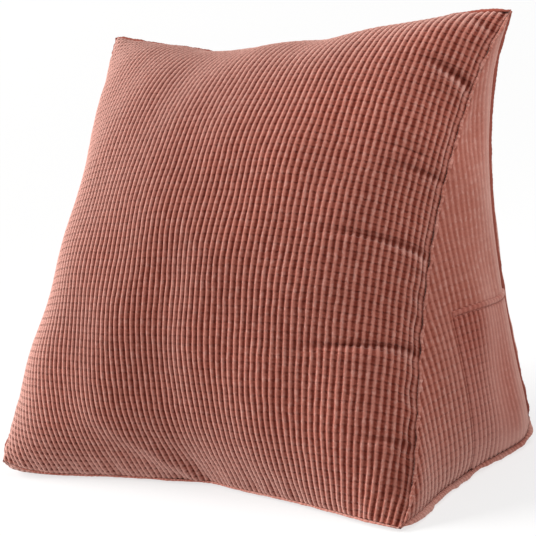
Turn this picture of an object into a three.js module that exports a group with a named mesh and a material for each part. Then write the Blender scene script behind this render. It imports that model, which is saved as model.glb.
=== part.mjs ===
// A stuffed wedge pillow in ribbed cloth: a square sloping front, an upright back, a base and two
// triangular gussets, sewn together with a narrow raised lip along every seam, and a patch pocket lying
// flat on the right gusset. Millimetres, +Z up. The front faces -Y and the pillow stands on its base.
import * as THREE from "three";

// Driving dimensions.
const width = 450; // between the left and right corner tips
const depth = 210; // between the front and back corner tips of the base
const height = 360; // top corners above the floor
const lean = 28; // top corner tips behind the back corner tips
const footHeight = 4; // foot seams above the floor
const frontCrown = 103; // rise of the front panel over the surface its seams span
const backCrown = 72;
const gussetCrown = 17;
const ribPitch = 5.9;
const ribRelief = 1.5; // groove to crest
const lipThick = 4;
const sheetThick = 1.6; // pocket cloth in a groove of its ribs
const hemThick = 3.2;
const hemWide = 8;
const pocketGap = 0.3; // pocket off the gusset
const pocketFront = 114; // front edge of the pocket behind the front corner tip
const pocketTop = 134; // top of the pocket hem up the gusset

// Ribs that fit across each panel.
const panelWidth = 470; // cut width of the front and back panels
const gussetWidth = 189; // cut width of a gusset half way up its rear seam
const ribs = 2 * Math.round(panelWidth / ribPitch / 2);
const gussetRibs = Math.round(gussetWidth / ribPitch);

const vec = (x, y, z) => new THREE.Vector3(x, y, z);
const sum = (...parts) => parts.reduce((total, part) => total.add(part), vec(0, 0, 0));
const times = (v, k) => v.clone().multiplyScalar(k);
const unit = (x, y, z) => vec(x, y, z).normalize();
const mix = (a, b, t) => a.clone().lerp(b, t);
const steps = (count) => Array.from({ length: count + 1 }, (unused, k) => k / count);
const bell = (t, place, half) => Math.exp(-(((t - place) / half) ** 2));

// An arch over 0 to 1: 0 at both ends, 1 at the peak. A power under 1 makes its feet steeper.
function arch(t, peak = 0.5, power = 1) {
  const s = t ** (Math.log(0.5) / Math.log(peak));
  return Math.max(0, 4 * s * (1 - s)) ** power;
}

// The six corners: the place the seams run to, and how far the tip itself curls away from there. The
// filling draws the top left one in and up.
const half = width / 2;
const topLeftIn = 16;
const topLeftUp = 6;
const topBack = depth / 2 + lean;
const cornerTable = [
  { name: "frontLeft", place: vec(-half, -depth / 2, footHeight), curl: vec(5, 0, 8) },
  { name: "frontRight", place: vec(half, -depth / 2, footHeight), curl: vec(-4, 2, 0) },
  { name: "backLeft", place: vec(-half, depth / 2, footHeight), curl: vec(4, -3, 5) },
  { name: "backRight", place: vec(half, depth / 2, footHeight), curl: vec(-5, -3, 7) },
  { name: "topLeft", place: vec(-half + topLeftIn, topBack, height + topLeftUp), curl: vec(0, 0, 0) },
  { name: "topRight", place: vec(half, topBack, height), curl: vec(3, 4, -5) },
];
const places = Object.fromEntries(cornerTable.map((row) => [row.name, row.place]));
const curls = Object.fromEntries(cornerTable.map((row) => [row.name, row.curl]));
const corners = Object.fromEntries(cornerTable.map((row) => [row.name, sum(row.place, row.curl)]));
const curlReach = 0.16; // share of a seam over which its end curls

// Directions that face straight out of the flat front, back and right gusset.
const frontOut = unit(0, -height, depth + lean);
const backOut = unit(0, height, -lean);
const rightOut = vec(1, 0, 0);
const leftOut = vec(-1, 0, 0);
const up = vec(0, 0, 1);
const ahead = vec(0, -1, 0);
const behind = vec(0, 1, 0);
const between = (a, b) => sum(a, b).normalize();
const slopeLean = 0.5; // how far the lips of the front's side seams lean out of the front, 1 is half way

// Each seam runs from one corner tip to another. Its middle is drawn off the straight line by two arches:
// in, peaking at inPeak, along inward, and sunk, peaking at sunkPeak, along sink. Its lip stands out by
// reach along lip.
const seamTable = [
  { name: "top", from: "topLeft", to: "topRight", panels: ["front", "back"], pieces: 40,
    inward: times(up, -1), in: 23, inPeak: 0.47, sink: ahead, sunk: 7, sunkPeak: 0.27,
    lip: between(up, behind), reach: 4 },
  { name: "frontFoot", from: "frontLeft", to: "frontRight", panels: ["front", "base"], pieces: 40,
    inward: behind, in: 32, inPeak: 0.48, sink: up, sunk: 0, sunkPeak: 0.5,
    lip: ahead, reach: 2 },
  { name: "backFoot", from: "backLeft", to: "backRight", panels: ["back", "base"], pieces: 40,
    inward: ahead, in: 16, inPeak: 0.5, sink: up, sunk: 0, sunkPeak: 0.5,
    lip: behind, reach: 4 },
  { name: "frontRight", from: "frontRight", to: "topRight", panels: ["front", "right"], pieces: 22,
    inward: leftOut, in: 26, inPeak: 0.55, sink: times(frontOut, -1), sunk: 8, sunkPeak: 0.15,
    lip: between(times(frontOut, slopeLean), rightOut), reach: 4 },
  { name: "frontLeft", from: "frontLeft", to: "topLeft", panels: ["front", "left"], pieces: 22,
    inward: rightOut, in: 25, inPeak: 0.6, sink: times(frontOut, -1), sunk: 7, sunkPeak: 0.46,
    lip: between(times(frontOut, slopeLean), leftOut), reach: 5 },
  { name: "backRight", from: "backRight", to: "topRight", panels: ["back", "right"], pieces: 16,
    inward: leftOut, in: 14, inPeak: 0.68, sink: ahead, sunk: 31, sunkPeak: 0.34,
    lip: between(backOut, rightOut), reach: 4 },
  { name: "backLeft", from: "backLeft", to: "topLeft", panels: ["back", "left"], pieces: 16,
    inward: rightOut, in: 15, inPeak: 0.65, sink: ahead, sunk: 29, sunkPeak: 0.38,
    lip: between(backOut, leftOut), reach: 4 },
  { name: "rightFoot", from: "frontRight", to: "backRight", panels: ["right", "base"], pieces: 12,
    inward: leftOut, in: 12, inPeak: 0.5, sink: up, sunk: 0, sunkPeak: 0.5,
    lip: rightOut, reach: 5 },
  { name: "leftFoot", from: "frontLeft", to: "backLeft", panels: ["left", "base"], pieces: 12,
    inward: rightOut, in: 11, inPeak: 0.5, sink: up, sunk: 0, sunkPeak: 0.5,
    lip: leftOut, reach: 5 },
];
const seamPower = 1.4;

// Short tucks where a seam is caught in more than beside it.
const tucks = [
  { seam: "top", place: 0.34, half: 0.07, deep: 4 },
  { seam: "frontFoot", place: 0.5, half: 0.06, deep: 5 },
];

function seamPoint(seam, t) {
  let drawn = seam.in * arch(t, seam.inPeak, seamPower);
  for (const tuck of tucks) {
    if (tuck.seam === seam.name) drawn += tuck.deep * bell(t, tuck.place, tuck.half);
  }
  const sunk = seam.sunk * arch(t, seam.sunkPeak, seamPower);
  const line = mix(places[seam.from], places[seam.to], t);
  line.add(times(curls[seam.from], curlShare(t))).add(times(curls[seam.to], curlShare(1 - t)));
  return sum(line, times(seam.inward, drawn), times(seam.sink, sunk));
}

function curlShare(t) {
  return Math.max(0, 1 - t / curlReach) ** 2;
}

const seams = Object.fromEntries(seamTable.map((seam) => [seam.name, seam]));

// A surface through four seams, u along the low one and v along the left one.
function spanned(low, high, left, right, u, v) {
  const lowPoint = seamPoint(seams[low], u);
  const highPoint = seamPoint(seams[high], u);
  const leftPoint = seamPoint(seams[left], v);
  const rightPoint = seamPoint(seams[right], v);
  const lowTips = mix(corners[seams[low].from], corners[seams[low].to], u);
  const highTips = mix(corners[seams[high].from], corners[seams[high].to], u);
  const tips = mix(lowTips, highTips, v);
  return sum(mix(lowPoint, highPoint, v), mix(leftPoint, rightPoint, u), times(tips, -1));
}

// Creases on the front panel that start at the right seam: place is their height up the panel there, reach
// how far they run in and drop how much lower they end, all as shares of the panel.
const creases = [
  { place: 0.859, reach: 0.11, drop: 0.016, deep: 5, half: 0.012 },
  { place: 0.657, reach: 0.1, drop: 0.004, deep: 5, half: 0.012 },
  { place: 0.524, reach: 0.17, drop: 0.026, deep: 6, half: 0.012 },
  { place: 0.375, reach: 0.07, drop: 0.02, deep: 3, half: 0.01 },
  { place: 0.311, reach: 0.19, drop: 0.014, deep: 5, half: 0.012 },
  { place: 0.165, reach: 0.08, drop: 0.012, deep: 4, half: 0.01 },
  { place: 0.13, reach: 0.07, drop: 0.012, deep: 3, half: 0.01 },
];

// How deep the creases press the front panel in at a place on it. Each has a soft ridge just below it.
const ridgeShare = 0.55; // ridge height as a share of the crease's depth
const ridgeBelow = 2.2; // in half widths of the crease
const ridgeWider = 1.2;
const creaseFade = 0.7;

function creaseDepth(u, v) {
  let pressed = 0;
  for (const crease of creases) {
    const along = (1 - u) / crease.reach;
    const line = crease.place - crease.drop * along;
    const fade = Math.max(0, 1 - along) ** creaseFade;
    const trough = bell(v, line, crease.half);
    const ridge = ridgeShare * bell(v, line - ridgeBelow * crease.half, ridgeWider * crease.half);
    pressed += crease.deep * fade * (trough - ridge);
  }
  return pressed;
}

// How full each panel is: its crown's power along and across it, and where the front is highest.
const crownPower = 0.54;
const widthPower = 0.59;
const frontPeakAcross = 0.466;
const frontPeakUp = 0.512;
const backPeakUp = 0.45;

// Near its foot, over footReach of its length, the front swells more upwards than out: by these angles, in
// radians, at the left and right corners.
const footReach = 0.155;
const turnLeft = 0.24;
const turnRight = 0.42;

function frontSurface(u, v) {
  const rise = frontCrown * arch(u, frontPeakAcross, widthPower) * arch(v, frontPeakUp, crownPower);
  const nearFoot = Math.max(0, 1 - v / footReach) ** 2;
  const turn = nearFoot * (turnLeft + u * (turnRight - turnLeft));
  const direction = frontOut.clone().applyAxisAngle(leftOut, turn);
  return sum(spanned("frontFoot", "top", "frontLeft", "frontRight", u, v), times(direction, rise));
}

function backSurface(u, v) {
  const rise = backCrown * arch(u, 0.5, widthPower) * arch(v, backPeakUp, crownPower);
  return sum(spanned("backFoot", "top", "backLeft", "backRight", u, v), times(backOut, rise));
}

function baseSurface(u, v) {
  return spanned("frontFoot", "backFoot", "leftFoot", "rightFoot", u, v);
}

// How full a gusset is at a place: 0 on its three edges and 1 at most. It rises slowly from the front corner
// and falls steeply to the rear seam, the foot seam and the slanting seam.
const fillPower = { front: 1.4, rear: 1.5, foot: 5.5, slope: 3.5 };
const fullest = 0.2368; // the largest product of the four factors below
function gussetFullness(u, v) {
  const fromFront = u ** fillPower.front;
  const fromRear = 1 - u ** fillPower.rear;
  const fromFoot = 1 - (1 - v) ** fillPower.foot;
  const fromSlope = 1 - v ** fillPower.slope;
  return (fromFront * fromRear * fromFoot * fromSlope) / fullest;
}

// A gusset: u runs from the front corner back to the rear seam, v from the foot seam up to the front seam,
// so that a line of constant u is one rib, cut off by the slanting front seam.
const rearReach = 2.3; // power by which the rear seam's bend fades towards the front corner
function gussetSurface(out, foot, front, rear, u, v) {
  const rearSeam = seams[rear];
  const straight = mix(corners[rearSeam.from], corners[rearSeam.to], v);
  const drawn = sum(seamPoint(rearSeam, v), times(straight, -1));
  const flat = mix(seamPoint(seams[foot], u), seamPoint(seams[front], u), v);
  const rise = gussetCrown * gussetFullness(u, v);
  return sum(flat, times(drawn, u ** rearReach), times(out, rise));
}

// A panel's surface with even spacing: u and v are shares of the cloth's own length.
class Panel {
  constructor(surface, facing, evenly) {
    this.count = 48;
    this.facing = facing;
    const round = (t) => (1 - Math.cos(Math.PI * t)) / 2;
    const spaced = evenly ? round : (t) => t;
    this.grid = steps(this.count).map((u) => steps(this.count).map((v) => surface(spaced(u), spaced(v))));
    if (evenly) {
      this.grid = transpose(transpose(this.grid).map(evenLine));
      this.grid = this.grid.map(evenLine);
    }
  }

  at(u, v) {
    const [i, s] = this.cell(u);
    const [j, t] = this.cell(v);
    const low = mix(this.grid[i][j], this.grid[i + 1][j], s);
    const high = mix(this.grid[i][j + 1], this.grid[i + 1][j + 1], s);
    return mix(low, high, t);
  }

  cell(t) {
    const scaled = Math.min(Math.max(t, 0), 1) * this.count;
    const whole = Math.min(Math.floor(scaled), this.count - 1);
    return [whole, scaled - whole];
  }

  outward(u, v) {
    const reach = 1.5 / this.count;
    const alongU = this.at(u + reach, v).sub(this.at(u - reach, v));
    const alongV = this.at(u, v + reach).sub(this.at(u, v - reach));
    return alongU.cross(alongV).normalize().multiplyScalar(this.facing);
  }
}

function transpose(grid) {
  return grid[0].map((unused, j) => grid.map((line) => line[j]));
}

// The same line of points, spaced evenly along its length.
function evenLine(line) {
  const lengths = [0];
  for (let k = 1; k < line.length; k += 1) lengths.push(lengths[k - 1] + line[k].distanceTo(line[k - 1]));
  const total = lengths[lengths.length - 1];
  let k = 0;
  return line.map((unused, place) => {
    const wanted = (total * place) / (line.length - 1);
    while (k < line.length - 2 && lengths[k + 1] < wanted) k += 1;
    const gap = lengths[k + 1] - lengths[k];
    return mix(line[k], line[k + 1], gap > 0 ? (wanted - lengths[k]) / gap : 0);
  });
}

const rightSurface = (u, v) => gussetSurface(rightOut, "rightFoot", "frontRight", "backRight", u, v);
const leftSurface = (u, v) => gussetSurface(leftOut, "leftFoot", "frontLeft", "backLeft", u, v);
const panels = {
  front: new Panel(frontSurface, 1, true),
  back: new Panel(backSurface, -1, true),
  base: new Panel(baseSurface, -1, true),
  right: new Panel(rightSurface, 1, false),
  left: new Panel(leftSurface, -1, false),
};

// A mesh under construction: points, and triangles that face outwards.
class Skin {
  constructor() {
    this.points = [];
    this.faces = [];
  }

  add(point) {
    this.points.push(point);
    return this.points.length - 1;
  }

  // The strip between two lines of points, which may hold different counts.
  zip(first, second, flip = false) {
    let i = 0;
    let j = 0;
    while (i < first.length - 1 || j < second.length - 1) {
      const canFirst = i < first.length - 1;
      const canSecond = j < second.length - 1;
      let takeFirst = canFirst;
      if (canFirst && canSecond) {
        const byFirst = this.points[first[i + 1]].distanceTo(this.points[second[j]]);
        const bySecond = this.points[first[i]].distanceTo(this.points[second[j + 1]]);
        takeFirst = byFirst <= bySecond;
      }
      const third = takeFirst ? first[i + 1] : second[j + 1];
      const face = [first[i], third, second[j]];
      if (new Set(face).size === 3) this.faces.push(flip ? face.reverse() : face);
      if (takeFirst) i += 1;
      else j += 1;
    }
  }

  geometry() {
    const geometry = new THREE.BufferGeometry();
    const flat = this.points.flatMap((point) => point.toArray());
    geometry.setAttribute("position", new THREE.Float32BufferAttribute(flat, 3));
    geometry.setIndex(this.faces.flat());
    geometry.computeVertexNormals();
    return geometry;
  }
}

const skin = new Skin();
const lipTip = 0.7; // thickness of a lip at its outer edge, as a share of its root
const cornerInset = 6; // panels end this far inside a corner tip
const cornerSpread = 1.5;
const middle = vec(0, 20, 120); // a point well inside the filling

// Where each panel ends just inside a corner tip.
const tipIndex = {};
const panelCorner = {};
const panelOut = { front: frontOut, back: backOut, base: times(up, -1), right: rightOut, left: leftOut };
for (const [name, tip] of Object.entries(corners)) tipIndex[name] = skin.add(tip);
for (const seam of seamTable) {
  for (const panel of seam.panels) {
    for (const corner of [seam.from, seam.to]) {
      const key = panel + corner;
      if (key in panelCorner) continue;
      const inside = sum(middle, times(corners[corner], -1)).setLength(cornerInset);
      const point = sum(corners[corner], inside, times(panelOut[panel], cornerSpread));
      point.z = Math.max(point.z, 0);
      panelCorner[key] = skin.add(point);
    }
  }
}

// Each seam's lip: the two panels' roots, with a narrow raised band between them.
const roots = {};
for (const seam of seamTable) {
  const [first, second] = seam.panels;
  const lines = { firstRoot: [], firstTip: [], secondTip: [], secondRoot: [] };
  const along = sum(corners[seam.to], times(corners[seam.from], -1));
  const side = along.clone().cross(seam.lip).normalize();
  const flip = side.dot(panelOut[first]) < side.dot(panelOut[second]);
  if (flip) side.negate();
  for (const t of steps(seam.pieces)) {
    if (t === 0 || t === 1) {
      const corner = t === 0 ? seam.from : seam.to;
      lines.firstRoot.push(panelCorner[first + corner]);
      lines.firstTip.push(tipIndex[corner]);
      lines.secondTip.push(tipIndex[corner]);
      lines.secondRoot.push(panelCorner[second + corner]);
      continue;
    }
    const point = seamPoint(seam, t);
    const rootSide = times(side, lipThick / 2);
    const tipSide = times(rootSide, lipTip);
    const tip = sum(point, times(seam.lip, seam.reach));
    lines.firstRoot.push(skin.add(sum(point, rootSide)));
    lines.firstTip.push(skin.add(sum(tip, tipSide)));
    lines.secondTip.push(skin.add(sum(tip, times(tipSide, -1))));
    lines.secondRoot.push(skin.add(sum(point, times(rootSide, -1))));
  }
  skin.zip(lines.firstRoot, lines.firstTip, flip);
  skin.zip(lines.firstTip, lines.secondTip, flip);
  skin.zip(lines.secondTip, lines.secondRoot, flip);
  roots[first + seam.name] = lines.firstRoot;
  roots[second + seam.name] = lines.secondRoot;
}

// A panel's inner points, given as columns that run up it, joined to each other and to its seams.
function fillPanel(name, low, high, left, right, columns) {
  const flip = panels[name].facing < 0;
  const count = columns.length;
  for (let k = 0; k < count - 1; k += 1) skin.zip(columns[k + 1], columns[k], flip);
  skin.zip(roots[name + low], columns.map((column) => column[0]), flip);
  skin.zip(columns.map((column) => column[column.length - 1]), roots[name + high], flip);
  skin.zip(columns[0], left, flip);
  skin.zip(right, columns[count - 1], flip);
}

// A point of a ribbed panel: crests stand out and grooves lie in by half the relief.
function ribbedPoint(panel, u, v, relief, pressed = 0) {
  const lift = times(panel.outward(u, v), relief / 2 - pressed);
  return sum(panel.at(u, v), lift);
}

// The front's rows, by height up it: few where it is calm, more across the creases near the right seam.
const edge = 0.02; // share of the panel left to the strip along its seams
const calmRows = [edge, 0.06, 0.12, 0.2, 0.3, 0.4, 0.5, 0.6, 0.7, 0.8, 0.88, 0.94, 1 - edge];
const creasedRows = [
  edge, 0.06, 0.1, 0.128, 0.145, 0.163, 0.185, 0.24, 0.28, 0.306, 0.33, 0.37, 0.4, 0.46, 0.49, 0.517,
  0.545, 0.6, 0.635, 0.656, 0.68, 0.74, 0.8, 0.835, 0.855, 0.88, 0.94, 1 - edge,
];
const creasedFrom = 0.78;

function ribbedColumns(panel, rowsAt, pressed) {
  const columns = [];
  for (let k = 3; k <= 2 * ribs - 3; k += 1) {
    const u = k / (2 * ribs);
    const relief = k % 2 === 1 ? ribRelief : -ribRelief;
    columns.push(rowsAt(u).map((v) => skin.add(ribbedPoint(panel, u, v, relief, pressed(u, v)))));
  }
  return columns;
}

const frontRows = (u) => (u < creasedFrom ? calmRows : creasedRows);
const frontColumns = ribbedColumns(panels.front, frontRows, creaseDepth);
fillPanel("front", "frontFoot", "top", roots.frontfrontLeft, roots.frontfrontRight, frontColumns);

const backRows = [0.025, 0.09, 0.2, 0.4, 0.6, 0.8, 0.91, 0.975];
const backColumns = ribbedColumns(panels.back, () => backRows, () => 0);
fillPanel("back", "backFoot", "top", roots.backbackLeft, roots.backbackRight, backColumns);

// The base is flat on the floor but for a narrow margin that rises to its seams.
const baseAcross = 12;
const baseAlong = 5;
const baseMarginAcross = 0.05;
const baseMarginAlong = 0.11;
const baseColumns = steps(baseAcross).map((s) => steps(baseAlong).map((t) => {
  const u = baseMarginAcross + s * (1 - 2 * baseMarginAcross);
  const v = baseMarginAlong + t * (1 - 2 * baseMarginAlong);
  const point = panels.base.at(u, v);
  point.z = 0;
  return skin.add(point);
}));
fillPanel("base", "frontFoot", "backFoot", roots.baseleftFoot, roots.baserightFoot, baseColumns);

// The gussets. Their columns are upright ribs, shorter towards the front corner.
const slopeHeight = height - footHeight;
const footMargin = 9;
const slopeMargin = 10;
const rowHeight = 48;
const coveredRowHeight = 26; // closer where the pocket lies on it
const shortest = 30;

// The pocket's place on the right gusset, in the cloth's own sizes: back from the front corner, and up.
// The gusset's ribs are pressed flat behind it.
const pocketRear = depth - 10;
const pocketFoot = 7;
const pocketMargin = 12;

function underPocket(y, z) {
  return y > pocketFront - pocketMargin && z < pocketTop + pocketMargin;
}

function gussetColumns(panel, covered) {
  const columns = [];
  for (let k = 5; k <= 2 * gussetRibs - 2; k += 1) {
    const u = k / (2 * gussetRibs);
    const tall = u * slopeHeight;
    if (tall < shortest) continue;
    const span = tall - footMargin - slopeMargin;
    const closer = covered(u * depth, footMargin);
    const rows = closer ? Math.round(span / coveredRowHeight) : Math.ceil(span / rowHeight);
    const column = steps(rows).map((t) => {
      const z = footMargin + t * span;
      const crest = k % 2 === 1 ? ribRelief : -ribRelief;
      const relief = covered(u * depth, z) ? -ribRelief : crest;
      return skin.add(ribbedPoint(panel, u, z / tall, relief));
    });
    columns.push(column);
  }
  return columns;
}

const cornerOf = (panel, corner) => [panelCorner[panel + corner]];
fillPanel("right", "rightFoot", "frontRight", cornerOf("right", "frontRight"), roots.rightbackRight,
  gussetColumns(panels.right, underPocket));
fillPanel("left", "leftFoot", "frontLeft", cornerOf("left", "frontLeft"), roots.leftbackLeft,
  gussetColumns(panels.left, () => false));

// The pocket: a ribbed sheet that follows the gusset, with a thicker turned hem along its top.
const pocketSkin = new Skin();
const pocketRibs = Math.round((pocketRear - pocketFront) / ribPitch);
const hemFrom = 1 - hemWide / (pocketTop - pocketFoot); // share of the pocket's height
const clothRows = [0, 0.18, 0.36, 0.54, 0.72, hemFrom];
const hemRows = [hemFrom + 0.02, 1];
const pocketRows = [...clothRows, ...hemRows];

function pocketPoint(s, t, out) {
  const y = pocketFront + s * (pocketRear - pocketFront);
  const z = pocketFoot + t * (pocketTop - pocketFoot);
  const u = y / depth;
  const v = z / (u * slopeHeight);
  return sum(panels.right.at(u, v), times(panels.right.outward(u, v), out));
}

function pocketSheet() {
  const inner = [];
  const outer = [];
  for (let k = 0; k <= 2 * pocketRibs; k += 1) {
    const s = k / (2 * pocketRibs);
    const crest = k % 2 === 1 ? ribRelief : 0;
    inner.push(pocketRows.map((t) => pocketSkin.add(pocketPoint(s, t, pocketGap))));
    outer.push(pocketRows.map((t) => {
      const thick = t > hemFrom ? hemThick : sheetThick + crest;
      return pocketSkin.add(pocketPoint(s, t, pocketGap + thick));
    }));
  }
  const last = 2 * pocketRibs;
  for (let k = 0; k < last; k += 1) {
    pocketSkin.zip(outer[k + 1], outer[k]);
    pocketSkin.zip(inner[k], inner[k + 1]);
  }
  pocketSkin.zip(outer[0], inner[0]);
  pocketSkin.zip(inner[last], outer[last]);
  const foot = (columns) => columns.map((column) => column[0]);
  const top = (columns) => columns.map((column) => column[column.length - 1]);
  pocketSkin.zip(foot(inner), foot(outer));
  pocketSkin.zip(top(outer), top(inner));
}
pocketSheet();

// Dusty terracotta cloth, rough all over.
function cloth(color) {
  return new THREE.MeshStandardMaterial({ color, roughness: 0.95, metalness: 0 });
}

const cushion = new THREE.Mesh(skin.geometry(), cloth(0xb0705f));
cushion.name = "cushion";
const pocket = new THREE.Mesh(pocketSkin.geometry(), cloth(0xa96a5a));
pocket.name = "side_pocket";

// The origin is on the floor under the middle of the pillow's outline.
const pillow = new THREE.Group();
pillow.add(cushion, pocket);
const outline = new THREE.Box3().setFromObject(pillow);
const centre = outline.getCenter(vec(0, 0, 0));
pillow.position.set(-centre.x, -centre.y, 0);

export default pillow;
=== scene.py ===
"""A stuffed wedge pillow in ribbed cloth, standing on its base: a square crowned front that slopes back to
the top seam, an upright back, a base and two triangular gussets, with a patch pocket on the right gusset."""
import math
from collections import namedtuple

import bpy
import numpy as np
from mathutils import Matrix


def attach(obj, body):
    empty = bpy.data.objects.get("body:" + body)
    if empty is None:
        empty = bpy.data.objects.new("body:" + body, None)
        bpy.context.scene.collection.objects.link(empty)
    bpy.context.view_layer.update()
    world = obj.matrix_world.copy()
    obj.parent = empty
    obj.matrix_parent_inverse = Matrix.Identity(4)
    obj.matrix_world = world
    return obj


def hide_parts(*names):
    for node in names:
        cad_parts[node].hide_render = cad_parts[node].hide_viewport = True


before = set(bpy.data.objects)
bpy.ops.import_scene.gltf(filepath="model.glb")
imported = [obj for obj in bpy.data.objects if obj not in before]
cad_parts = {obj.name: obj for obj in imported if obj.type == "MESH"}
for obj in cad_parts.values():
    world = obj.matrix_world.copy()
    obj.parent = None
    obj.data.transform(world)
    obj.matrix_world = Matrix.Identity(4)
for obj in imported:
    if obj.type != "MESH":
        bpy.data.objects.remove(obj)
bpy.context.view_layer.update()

# The pillow's sizes are in millimetres in its own axes: X across it, Y from front to back and Z up, with the
# origin on the floor under the middle of its four base corners. MIDDLE is the middle of its outline.
MM = 0.001
MIDDLE = np.array([2.62, 28.09, 0.0])

WIDTH = 450.0  # between the left and right corners
DEPTH = 210.0  # between the front and back corners of the base
HEIGHT = 360.0  # top corners above the floor
LEAN = 28.0  # top corners behind the back corners of the base
FOOT_HEIGHT = 4.0  # foot seams above the floor
FRONT_CROWN = 103.0  # rise of the front panel over the surface its seams span
BACK_CROWN = 72.0
GUSSET_CROWN = 17.0
PANEL_WIDTH = 470.0  # cut width of the front and back panels
PANEL_LENGTH = 462.0
GUSSET_WIDTH = 189.0  # cut width of a gusset half way up its rear seam
RIB_PITCH = 5.9
CUT_PITCH = 6.35  # between the fine cuts across the ribs, with a fainter one half way
RIB_RELIEF = 1.8  # groove to crest
GUSSET_RELIEF = 0.85
SWAY = 0.18  # how far a rib strays from its line
UNEVEN = 0.12  # share by which a rib's height varies
SEAM_POWER = 1.4
CURL_REACH = 0.16  # share of a seam over which its end curls
RIBS = 2 * round(PANEL_WIDTH / RIB_PITCH / 2)
GUSSET_RIBS = round(GUSSET_WIDTH / RIB_PITCH)
SLOPE_HEIGHT = HEIGHT - FOOT_HEIGHT


def vec(x, y, z):
    return np.array([x, y, z], float)


def unit(v):
    v = np.asarray(v, float)
    return v / np.maximum(np.linalg.norm(v, axis=-1, keepdims=True), 1e-9)


def arch(t, peak=0.5, power=1.0):
    """0 at both ends and 1 at the peak. A power under 1 makes its feet steeper."""
    s = np.clip(t, 0, 1) ** (math.log(0.5) / math.log(peak))
    return np.clip(4 * s * (1 - s), 0, None) ** power


def bell(t, place, half):
    return np.exp(-(((t - place) / half) ** 2))


def smooth(t):
    t = np.clip(t, 0, 1)
    return t * t * (3 - 2 * t)


def mixed(a, b, t):
    return a + (b - a) * t


def mix(a, b, t):
    return a + (b - a) * np.asarray(t)[..., None]


# Corners: the place the seams run to, and how far the tip itself curls away from there.
HALF = WIDTH / 2
FRONT_Y = -DEPTH / 2
BACK_Y = DEPTH / 2
PLACES = {
    "front_left": vec(-HALF, FRONT_Y, FOOT_HEIGHT),
    "front_right": vec(HALF, FRONT_Y, FOOT_HEIGHT),
    "back_left": vec(-HALF, BACK_Y, FOOT_HEIGHT),
    "back_right": vec(HALF, BACK_Y, FOOT_HEIGHT),
    "top_left": vec(-HALF + 16, BACK_Y + LEAN, HEIGHT + 6),
    "top_right": vec(HALF, BACK_Y + LEAN, HEIGHT),
}
CURLS = {
    "front_left": vec(7, 0, 12),
    "front_right": vec(-4, 2, 0),
    "back_left": vec(4, -3, 5),
    "back_right": vec(-8, -3, 14),
    "top_left": vec(0, 0, 0),
    "top_right": vec(4, 5, -6),
}
CORNERS = {name: PLACES[name] + CURLS[name] for name in PLACES}
INSIDE = vec(0, 20, 120)  # a point well inside the filling

# Directions that face straight out of the flat front, back and gussets.
FRONT_OUT = unit(vec(0, -HEIGHT, DEPTH + LEAN))
BACK_OUT = unit(vec(0, HEIGHT, -LEAN))
RIGHT = vec(1, 0, 0)
LEFT = vec(-1, 0, 0)
UP = vec(0, 0, 1)
AHEAD = vec(0, -1, 0)
BEHIND = vec(0, 1, 0)
FOLD_OUT = unit(vec(0.6, -0.75, 0.25))  # the creases at the right seam sink straight against this

# Each seam joins two corners and two panels. Two arches draw its middle off the straight line: most, along
# inward, highest at peak, and sunk, along sink, deepest at sunk_peak. Its lip stands out along lip.
Seam = namedtuple("Seam", "start end first second inward most peak sink sunk sunk_peak lip reach thick knob")
SLOPE_LEAN = 0.5  # how far the lips of the front's side seams lean out of the front, 1 is half way
SEAMS = {
    "top": Seam("top_left", "top_right", "front", "back", -UP, 23, 0.47, AHEAD, 7, 0.27,
                unit(UP + BEHIND), 2.8, 2.4, 0.15),
    "front_foot": Seam("front_left", "front_right", "front", "base", BEHIND, 32, 0.48, UP, 0, 0.5,
                       AHEAD, 1.4, 2.0, 0.1),
    "back_foot": Seam("back_left", "back_right", "back", "base", AHEAD, 16, 0.5, UP, 0, 0.5,
                      BEHIND, 4.0, 3.0, 0.3),
    "front_right": Seam("front_right", "top_right", "front", "right", LEFT, 26, 0.55, -FRONT_OUT, 8, 0.15,
                        unit(SLOPE_LEAN * FRONT_OUT + RIGHT), 1.9, 2.2, 0.55),
    "front_left": Seam("front_left", "top_left", "front", "left", RIGHT, 25, 0.6, -FRONT_OUT, 7, 0.46,
                       unit(SLOPE_LEAN * FRONT_OUT + LEFT), 4.0, 3.0, 0.25),
    "back_right": Seam("back_right", "top_right", "back", "right", LEFT, 14, 0.68, AHEAD, 31, 0.34,
                       unit(BACK_OUT + RIGHT), 2.4, 1.8, 0.06),
    "back_left": Seam("back_left", "top_left", "back", "left", RIGHT, 15, 0.65, AHEAD, 29, 0.38,
                      unit(BACK_OUT + LEFT), 2.4, 1.8, 0.06),
    "right_foot": Seam("front_right", "back_right", "right", "base", LEFT, 12, 0.5, UP, 0, 0.5,
                       RIGHT, 5.4, 4.0, 0.1),
    "left_foot": Seam("front_left", "back_left", "left", "base", RIGHT, 11, 0.5, UP, 0, 0.5,
                      LEFT, 5.4, 4.0, 0.1),
}

# Short tucks where a seam is caught in: seam, place along it, half width, how deep.
TUCKS = [
    ("top", 0.34, 0.07, 4.0),
    ("front_foot", 0.5, 0.06, 5.0),
]


def curl_share(t):
    return np.clip(1 - t / CURL_REACH, 0, 1) ** 2


def seam_point(name, t):
    seam = SEAMS[name]
    t = np.asarray(t, float)
    drawn = seam.most * arch(t, seam.peak, SEAM_POWER)
    for tucked, place, half, deep in TUCKS:
        if tucked == name:
            drawn = drawn + deep * bell(t, place, half)
    sunk = seam.sunk * arch(t, seam.sunk_peak, SEAM_POWER)
    curl = curl_share(t)[..., None] * CURLS[seam.start] + curl_share(1 - t)[..., None] * CURLS[seam.end]
    line = mix(PLACES[seam.start], PLACES[seam.end], t) + curl
    return line + drawn[..., None] * seam.inward + sunk[..., None] * seam.sink


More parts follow.
